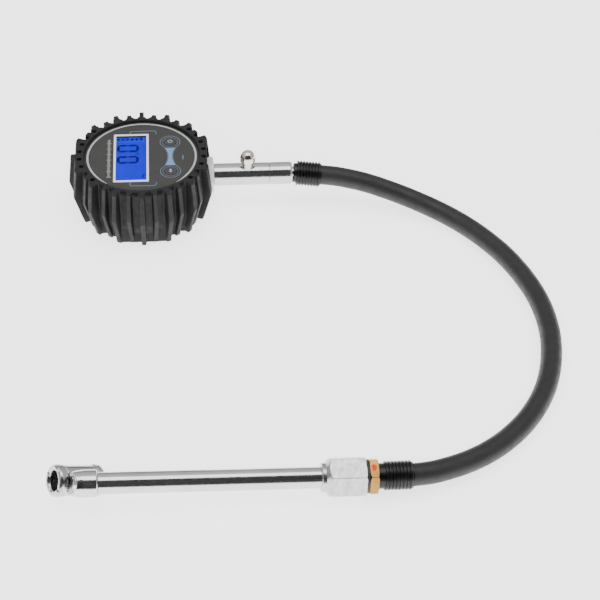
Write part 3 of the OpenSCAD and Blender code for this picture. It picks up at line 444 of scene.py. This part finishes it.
hose_path = smooth_path(HOSE_ROUTE, 5)
hose_skin = tube("hose_skin", hose_path, HOSE_SKIN_R, 48)
finish_piece(hose_skin, "hose_rubber", "gauge")
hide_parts("hose")


# ---- moulded, cast and plated skins ----

WAND = Vector((0.99775, 0.03432, -0.05756))
INTO_BARREL = Vector((0.83103, 0.35284, -0.42999))
FRONT_MOUTH = Vector((-41.570, -219.095, 16.898))
TUBE_SEAT = -131.2


def outside_bores(p):
    """Moves a point of a corner fill out of the chuck's barrel, its front cap and the wand's socket."""
    along = (p - FRONT_MOUTH).dot(INTO_BARREL)
    spoke = p - FRONT_MOUTH - along * INTO_BARREL
    spoke *= max(1.0, 6.5 / spoke.length)
    p = FRONT_MOUTH + max(along, 4.70) * INTO_BARREL + spoke
    past = (p - wand_point(0)).dot(WAND) - TUBE_SEAT
    return p - max(past, 0.0) * WAND


def wand_point(u):
    """A point on the wand's axis, u mm from the brass hexagon's middle."""
    return Vector((106.71, -217.69, 10.07)) + WAND * u


def soft_skin(node, name, voxel, smooth, ratio, blends=()):
    """A copy of a CAD node as one moulded or cast skin, with its edges and inner corners rounded.

    blends are balls (centre in mm, radius in mm) that fill a corner before the skin is drawn.
    """
    bm = bmesh.new()
    bm.from_mesh(nodes[node].data)
    bmesh.ops.remove_doubles(bm, verts=bm.verts, dist=2e-6)
    for centre, radius in blends:
        ball = bmesh.ops.create_icosphere(bm, subdivisions=4, radius=radius * MM,
                                          matrix=Matrix.Translation(Vector(centre) * MM))
        for v in ball["verts"]:
            v.co = outside_bores(v.co / MM) * MM
    mesh = bpy.data.meshes.new(name)
    bm.to_mesh(mesh)
    bm.free()
    obj = bpy.data.objects.new(name, mesh)
    bpy.context.collection.objects.link(obj)
    mod = obj.modifiers.new("skin", "REMESH")
    mod.mode = "VOXEL"
    mod.voxel_size = voxel
    mod = obj.modifiers.new("soft", "SMOOTH")
    mod.factor = 0.5
    mod.iterations = smooth
    if ratio < 1:
        mod = obj.modifiers.new("light", "DECIMATE")
        mod.ratio = ratio
    graph = bpy.context.evaluated_depsgraph_get()
    obj.data = bpy.data.meshes.new_from_object(obj.evaluated_get(graph))
    obj.modifiers.clear()
    obj.data.name = name
    for p in obj.data.polygons:
        p.use_smooth = True
    return obj




# balls that run the socket's end into the barrel: place along the wand and radius
SOCKET_END = ((-136.9, 6.15), (-137.9, 5.75), (-138.9, 5.2), (-139.8, 4.5))

SKINS = (
    ("rubber_boot", "boot_skin", "boot_rubber", "boot_rubber", "gauge", (0.00030, 4, 0.35)),
    ("chuck_body", "chuck_skin", "chrome", "chrome", "gauge", (0.00016, 12, 0.5)),
    ("front_cap", "front_cap_skin", "chrome_worn", "chrome", "gauge", (0.00011, 5, 0.5)),
    ("rear_cap", "rear_cap_skin", "chrome_worn", "chrome", "gauge", (0.00011, 5, 0.5)),
    ("bleed_button", "bleed_button_skin", "button_metal", "button_metal", "bleed_button", (0.00010, 16, 0.5)),
    ("union_nut", "union_nut_skin", "chrome_worn", "chrome", "gauge", (0.00016, 5, 0.4)),
    ("barb_fitting", "barb_skin", "brass", "brass", "gauge", (0.00014, 4, 0.4)),
)
for node, name, look, slot, body, how in SKINS:
    blends = [(wand_point(u), r) for u, r in SOCKET_END] if node == "chuck_body" else ()
    skin = soft_skin(node, name, *how, blends=blends)
    finish_piece(skin, look, body)
    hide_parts(node)


# ---- springs ----

def spring(node):
    """A copy of a CAD spring in spring steel, in place of the CAD node, which is hidden."""
    obj = bpy.data.objects.new(node + "_coil", nodes[node].data.copy())
    bpy.context.collection.objects.link(obj)
    finish_piece(obj, "spring_steel", "gauge")
    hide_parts(node)
    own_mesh(obj)


spring("bleed_spring")
spring("front_spring")
spring("rear_spring")


# ---- print on the dial ----

dial_top = box_mm("dial_overlay")[1].z
ink0, ink1 = dial_top + 0.004, dial_top + 0.03
lo, hi = box_mm("display_window")
win = ((lo.x + hi.x) / 2, (lo.y + hi.y) / 2)

# silver printed ring, open at the front; its taper and gap there are a painted highlight on the rim, fading
# towards the near side
ring = arc(0, 0, 29.75, -51, 231, 200)
# the width tapers towards the front gap: painted highlight fading on the rim
fade = [min(1.0, 0.25 + min(i, 200 - i) / 14) for i in range(201)]
ring_print_and_highlight = Shape().stroke(ring, [1.05 * f for f in fade], ink0, ink1)
ring_print_and_highlight.make("dial_ring_and_highlight", "ink_silver", "gauge", "dial_sheet")

frame_print = Shape()
frame_print.band(rounded(*win, 19.3, 42.7, 0.5), rounded(*win, 16.8, 39.6, 0.25), hi.z + 0.004, hi.z + 0.03)
frame_print.make("display_frame", "ink_white", "gauge", "window_clear")

lines = Shape()
lines.stroke([(-6.5, 20.7), (-6.5, 22.4), (-6.1, 22.9), (0, 23.1), (6.8, 23.2), (7.6, 22.8), (7.95, 21.9),
              (8.0, 19.6)], [0.6, 0.6, 0.6, 0.6, 0.6, 0.6, 0.55, 0.3], ink0, ink1)
lines.stroke([(-6.3, -22.3), (-6.3, -25.0), (-5.8, -25.6), (0, -25.75), (6.6, -25.8), (7.5, -25.3),
              (7.9, -24.4), (8.0, -22.6)], [0.6, 0.6, 0.6, 0.6, 0.6, 0.6, 0.55, 0.3], ink0, ink1)
keys = []
for node in ("power_key", "unit_key"):
    klo, khi = box_mm(node)
    keys.append(((klo.x + khi.x) / 2, (klo.y + khi.y) / 2, khi.z))
(kx, ka, ktop), (_, kb, _) = keys
for ky, flip in ((ka, 1), (kb, -1)):
    start = -90 + 34 if flip == 1 else 90 + 34
    lines.stroke(arc(kx, ky, 5.5, start, start + 292, 72), 0.42, ink0, ink1)
    lines.band(circle(kx, ky, 4.25), circle(kx, ky, 3.95), ink0, ink1)
mid = (ka + kb) / 2
for side in (-1, 1):
    neck = []
    for i in range(33):
        t = -1 + i / 16
        half = 1.15 + 1.95 * t * t
        neck.append((kx + side * (half + 0.2), mid + t * (ka - mid - 4.6)))
    lines.stroke(neck, 0.36, ink0, ink1)
lines.make("dial_lines", "ink_steel", "gauge", "dial_sheet")

glass = []
for side in (1, -1):
    ts = [(-1 + i / 16) * side for i in range(33)]
    glass += [(kx + side * (1.0 + 1.75 * t * t), mid + t * (ka - mid - 5.3)) for t in ts]
Shape().prism(glass, ink0 - 0.002, ink1 - 0.004).make("key_link", "ink_blue", "gauge", "dial_sheet")

marks = Shape()
for i in range(34):
    y = -17.6 + i * 1.0
    long = (i % 5 == 0)
    marks.stroke([(-19.2 if long else -18.7, y), (-16.8 if long else -17.3, y)], 0.36, ink0, ink1)
marks.make("dial_marks", "ink_silver", "gauge", "dial_sheet")

turns = [2 * math.pi * i / 32 for i in range(32)]
lamp = [(22.6 + 0.42 * math.cos(a), -1.5 + 2.2 * math.sin(a)) for a in turns]
Shape().prism(lamp, ink0, ink1).make("dial_lamp", "ink_steel", "gauge", "dial_sheet")

# generic signs on the keys: power, and up and down
zk0, zk1 = ktop - 0.03, ktop + 0.02
sign = Shape()
sign.stroke(arc(kx, ka, 1.15, 125, 415, 28), 0.34, zk0, zk1)
sign.stroke([(kx, ka + 0.3), (kx, ka + 1.6)], 0.34, zk0, zk1)
sign.make("power_sign", "ink_silver", "power_key", "key_rubber")
sign = Shape()
sign.prism([(kx - 0.9, kb + 0.3), (kx + 0.9, kb + 0.3), (kx, kb + 1.5)], zk0, zk1)
sign.prism([(kx - 0.9, kb - 0.3), (kx, kb - 1.5), (kx + 0.9, kb - 0.3)], zk0, zk1)
sign.make("unit_sign", "ink_silver", "unit_key", "key_rubber")


# ---- paint dab on the brass fitting ----

def hex_flat(node, axis_at, want, reach):
    """Centre and normal of the flat at a distance from an axis point that looks most that way."""
    faces = [p for p in nodes[node].data.polygons if (p.center - axis_at).dot(p.normal) > reach]
    best = max(faces, key=lambda p: p.normal.dot(want))
    near = [p for p in faces if p.normal.dot(best.normal) > 0.999]
    area = sum(p.area for p in near)
    return sum((p.center * p.area for p in near), Vector()) / area, best.normal.copy()


def paint_dab():
    centre, n = hex_flat("barb_fitting", wand_point(0) * MM, Vector((0.05, -0.265, 0.962)), 7.85 * MM)
    along = WAND
    across = n.cross(along).normalized()
    verts, faces = [], []
    count = 28
    for ring_no, (scale, lift) in enumerate(((1.0, 0.002), (0.92, 0.05), (0.6, 0.08), (0.42, 0.05))):
        for i in range(count):
            a = 2 * math.pi * i / count
            r = scale * (1 + 0.10 * math.sin(3 * a + 0.6) + 0.06 * math.sin(5 * a))
            verts.append(centre + MM * (along * (1.15 * r * math.cos(a) - 0.15)
                                        + across * (1.75 * r * math.sin(a) + 0.5) + n * lift))
        if ring_no:
            for i in range(count):
                j = (i + 1) % count
                lo_i, hi_i = (ring_no - 1) * count, ring_no * count
                faces.append([lo_i + i, lo_i + j, hi_i + j, hi_i + i])
    faces.append([3 * count + i for i in range(count)])
    faces.append([count - 1 - i for i in range(count)])
    obj = mesh_object("paint_dab", verts, faces)
    turn_faces_out(obj.data)
    finish_piece(obj, "paint_red", "gauge")


paint_dab()


# ---- display ----

lcd_top = box_mm("lcd_glass")[1].z
s0, s1 = lcd_top + 0.003, lcd_top + 0.05
row = Shape()
row.band(rounded(-6.3, 17.3, 14.6, 4.6, 0.3), rounded(-6.3, 17.3, 13.9, 3.9, 0.2), s0, s1)
row.make("display_row", "ink_pale_blue", "gauge", "lcd")
digits = Shape()
for i in range(6):
    digits.prism(circle(-13.0 + 2.55 * i, 17.3, 0.82, 20), s0, s1)


def bar(shape, x0, y0, x1, y1, w):
    """A display segment with pointed ends."""
    a, b = Vector((x0, y0)), Vector((x1, y1))
    d = (b - a).normalized()
    n = Vector((-d.y, d.x)) * w / 2
    pts = [a, a + d * w / 2 - n, b - d * w / 2 - n, b, b - d * w / 2 + n, a + d * w / 2 + n]
    shape.prism([(p.x, p.y) for p in pts], s0, s1)


def zero(shape, x0, x1, y0, y1, w=1.4, gap=0.16):
    """A seven-segment nought lying on its side, read from the stem's end."""
    xm = (x0 + x1) / 2
    for y in (y0, y1):
        bar(shape, x0 + gap, y, xm - gap, y, w)
        bar(shape, xm + gap, y, x1 - gap, y, w)
    for x in (x0, x1):
        bar(shape, x, y0 + gap, x, y1 - gap, w)


zero(digits, -12.9, -2.4, 6.5, 11.7)
zero(digits, -12.9, -2.4, -3.6, 1.6)
digits.prism(circle(-2.3, 4.1, 0.62, 20), s0, s1)
digits.prism([(0.1, -17.0), (0.7, -17.2), (1.5, -14.3), (0.9, -14.1)], s0, s1)
digits.make("display_digits", "ink_dark_blue", "gauge", "lcd")


# ---- floor and light ----

def plane(name, size, z, look):
    s = size / 2
    obj = mesh_object(name, [(-s, -s, z), (s, -s, z), (s, s, z), (-s, s, z)], [[0, 1, 2, 3]])
    obj.data.materials.append(look.mat)


floor_look = Look("floor_white", (0.88, 0.88, 0.88), 0.75)
floor_look.set("Emission Color", (1, 1, 1, 1)).set("Emission Strength", 2.1)
plane("floor", 6.0, -0.0002, floor_look)


def dark_card():
    """A black card on the camera's side, which the chrome reflects as its dark band."""
    look = Look("card_black", (0.004, 0.004, 0.004), 0.9, spec=0.0)
    streak = look.span(look.noise(1.6, 3, 0.5), 0.4, 0.75, 0, 1)
    tone = look.mix(streak, (0.012, 0.012, 0.012), (0.11, 0.11, 0.11))
    look.link(tone, look.shader.inputs["Emission Color"])
    look.set("Emission Strength", 1.0)
    centre = Vector((0.05, -0.12, 0.0))
    rows, cols, r = 16, 16, 1.5
    verts, faces = [], []
    for i in range(rows + 1):
        el = math.radians(6 + 67 * i / rows)
        for k in range(cols + 1):
            az = math.radians(-55 + 110 * k / cols)
            verts.append(centre + r * Vector((math.cos(el) * math.sin(az),
                                              -math.cos(el) * math.cos(az), math.sin(el))))
    w = cols + 1
    for i in range(rows):
        for k in range(cols):
            faces.append([i * w + k, i * w + k + 1, (i + 1) * w + k + 1, (i + 1) * w + k])
    obj = mesh_object("card", verts, faces)
    obj.data.materials.append(look.mat)
    obj.visible_camera = False
    obj.visible_diffuse = False
    obj.visible_shadow = False
    obj.visible_transmission = False


dark_card()


def area_light(name, place, target, size, power, glossy=True):
    data = bpy.data.lights.new(name, "AREA")
    data.shape = "RECTANGLE"
    data.size, data.size_y = size
    data.energy = power
    obj = bpy.data.objects.new(name, data)
    obj.location = place
    obj.rotation_euler = (Vector(target) - Vector(place)).to_track_quat("-Z", "Y").to_euler()
    obj.visible_glossy = glossy
    bpy.context.collection.objects.link(obj)


area_light("top_light", (0.05, -0.2, 1.5), (0.05, -0.2, 0.0), (1.6, 1.05), 14)
area_light("front_fill", (-0.1, -1.3, 0.8), (0.05, -0.1, 0.0), (0.9, 0.6), 9, glossy=False)

world = bpy.data.worlds.new("studio")
world.use_nodes = True
sky = world.node_tree
coords = sky.nodes.new("ShaderNodeTexCoord")
split = sky.nodes.new("ShaderNodeSeparateXYZ")
fade = sky.nodes.new("ShaderNodeMapRange")
for socket, value in (("From Min", 0.0), ("From Max", 0.9), ("To Min", 0.42), ("To Max", 1.0)):
    fade.inputs[socket].default_value = value
sky.links.new(coords.outputs["Generated"], split.inputs["Vector"])
sky.links.new(split.outputs["Z"], fade.inputs["Value"])
sky.links.new(fade.outputs["Result"], sky.nodes["Background"].inputs["Strength"])
sky.nodes["Background"].inputs["Color"].default_value = (1, 1, 1, 1)
bpy.context.scene.world = world
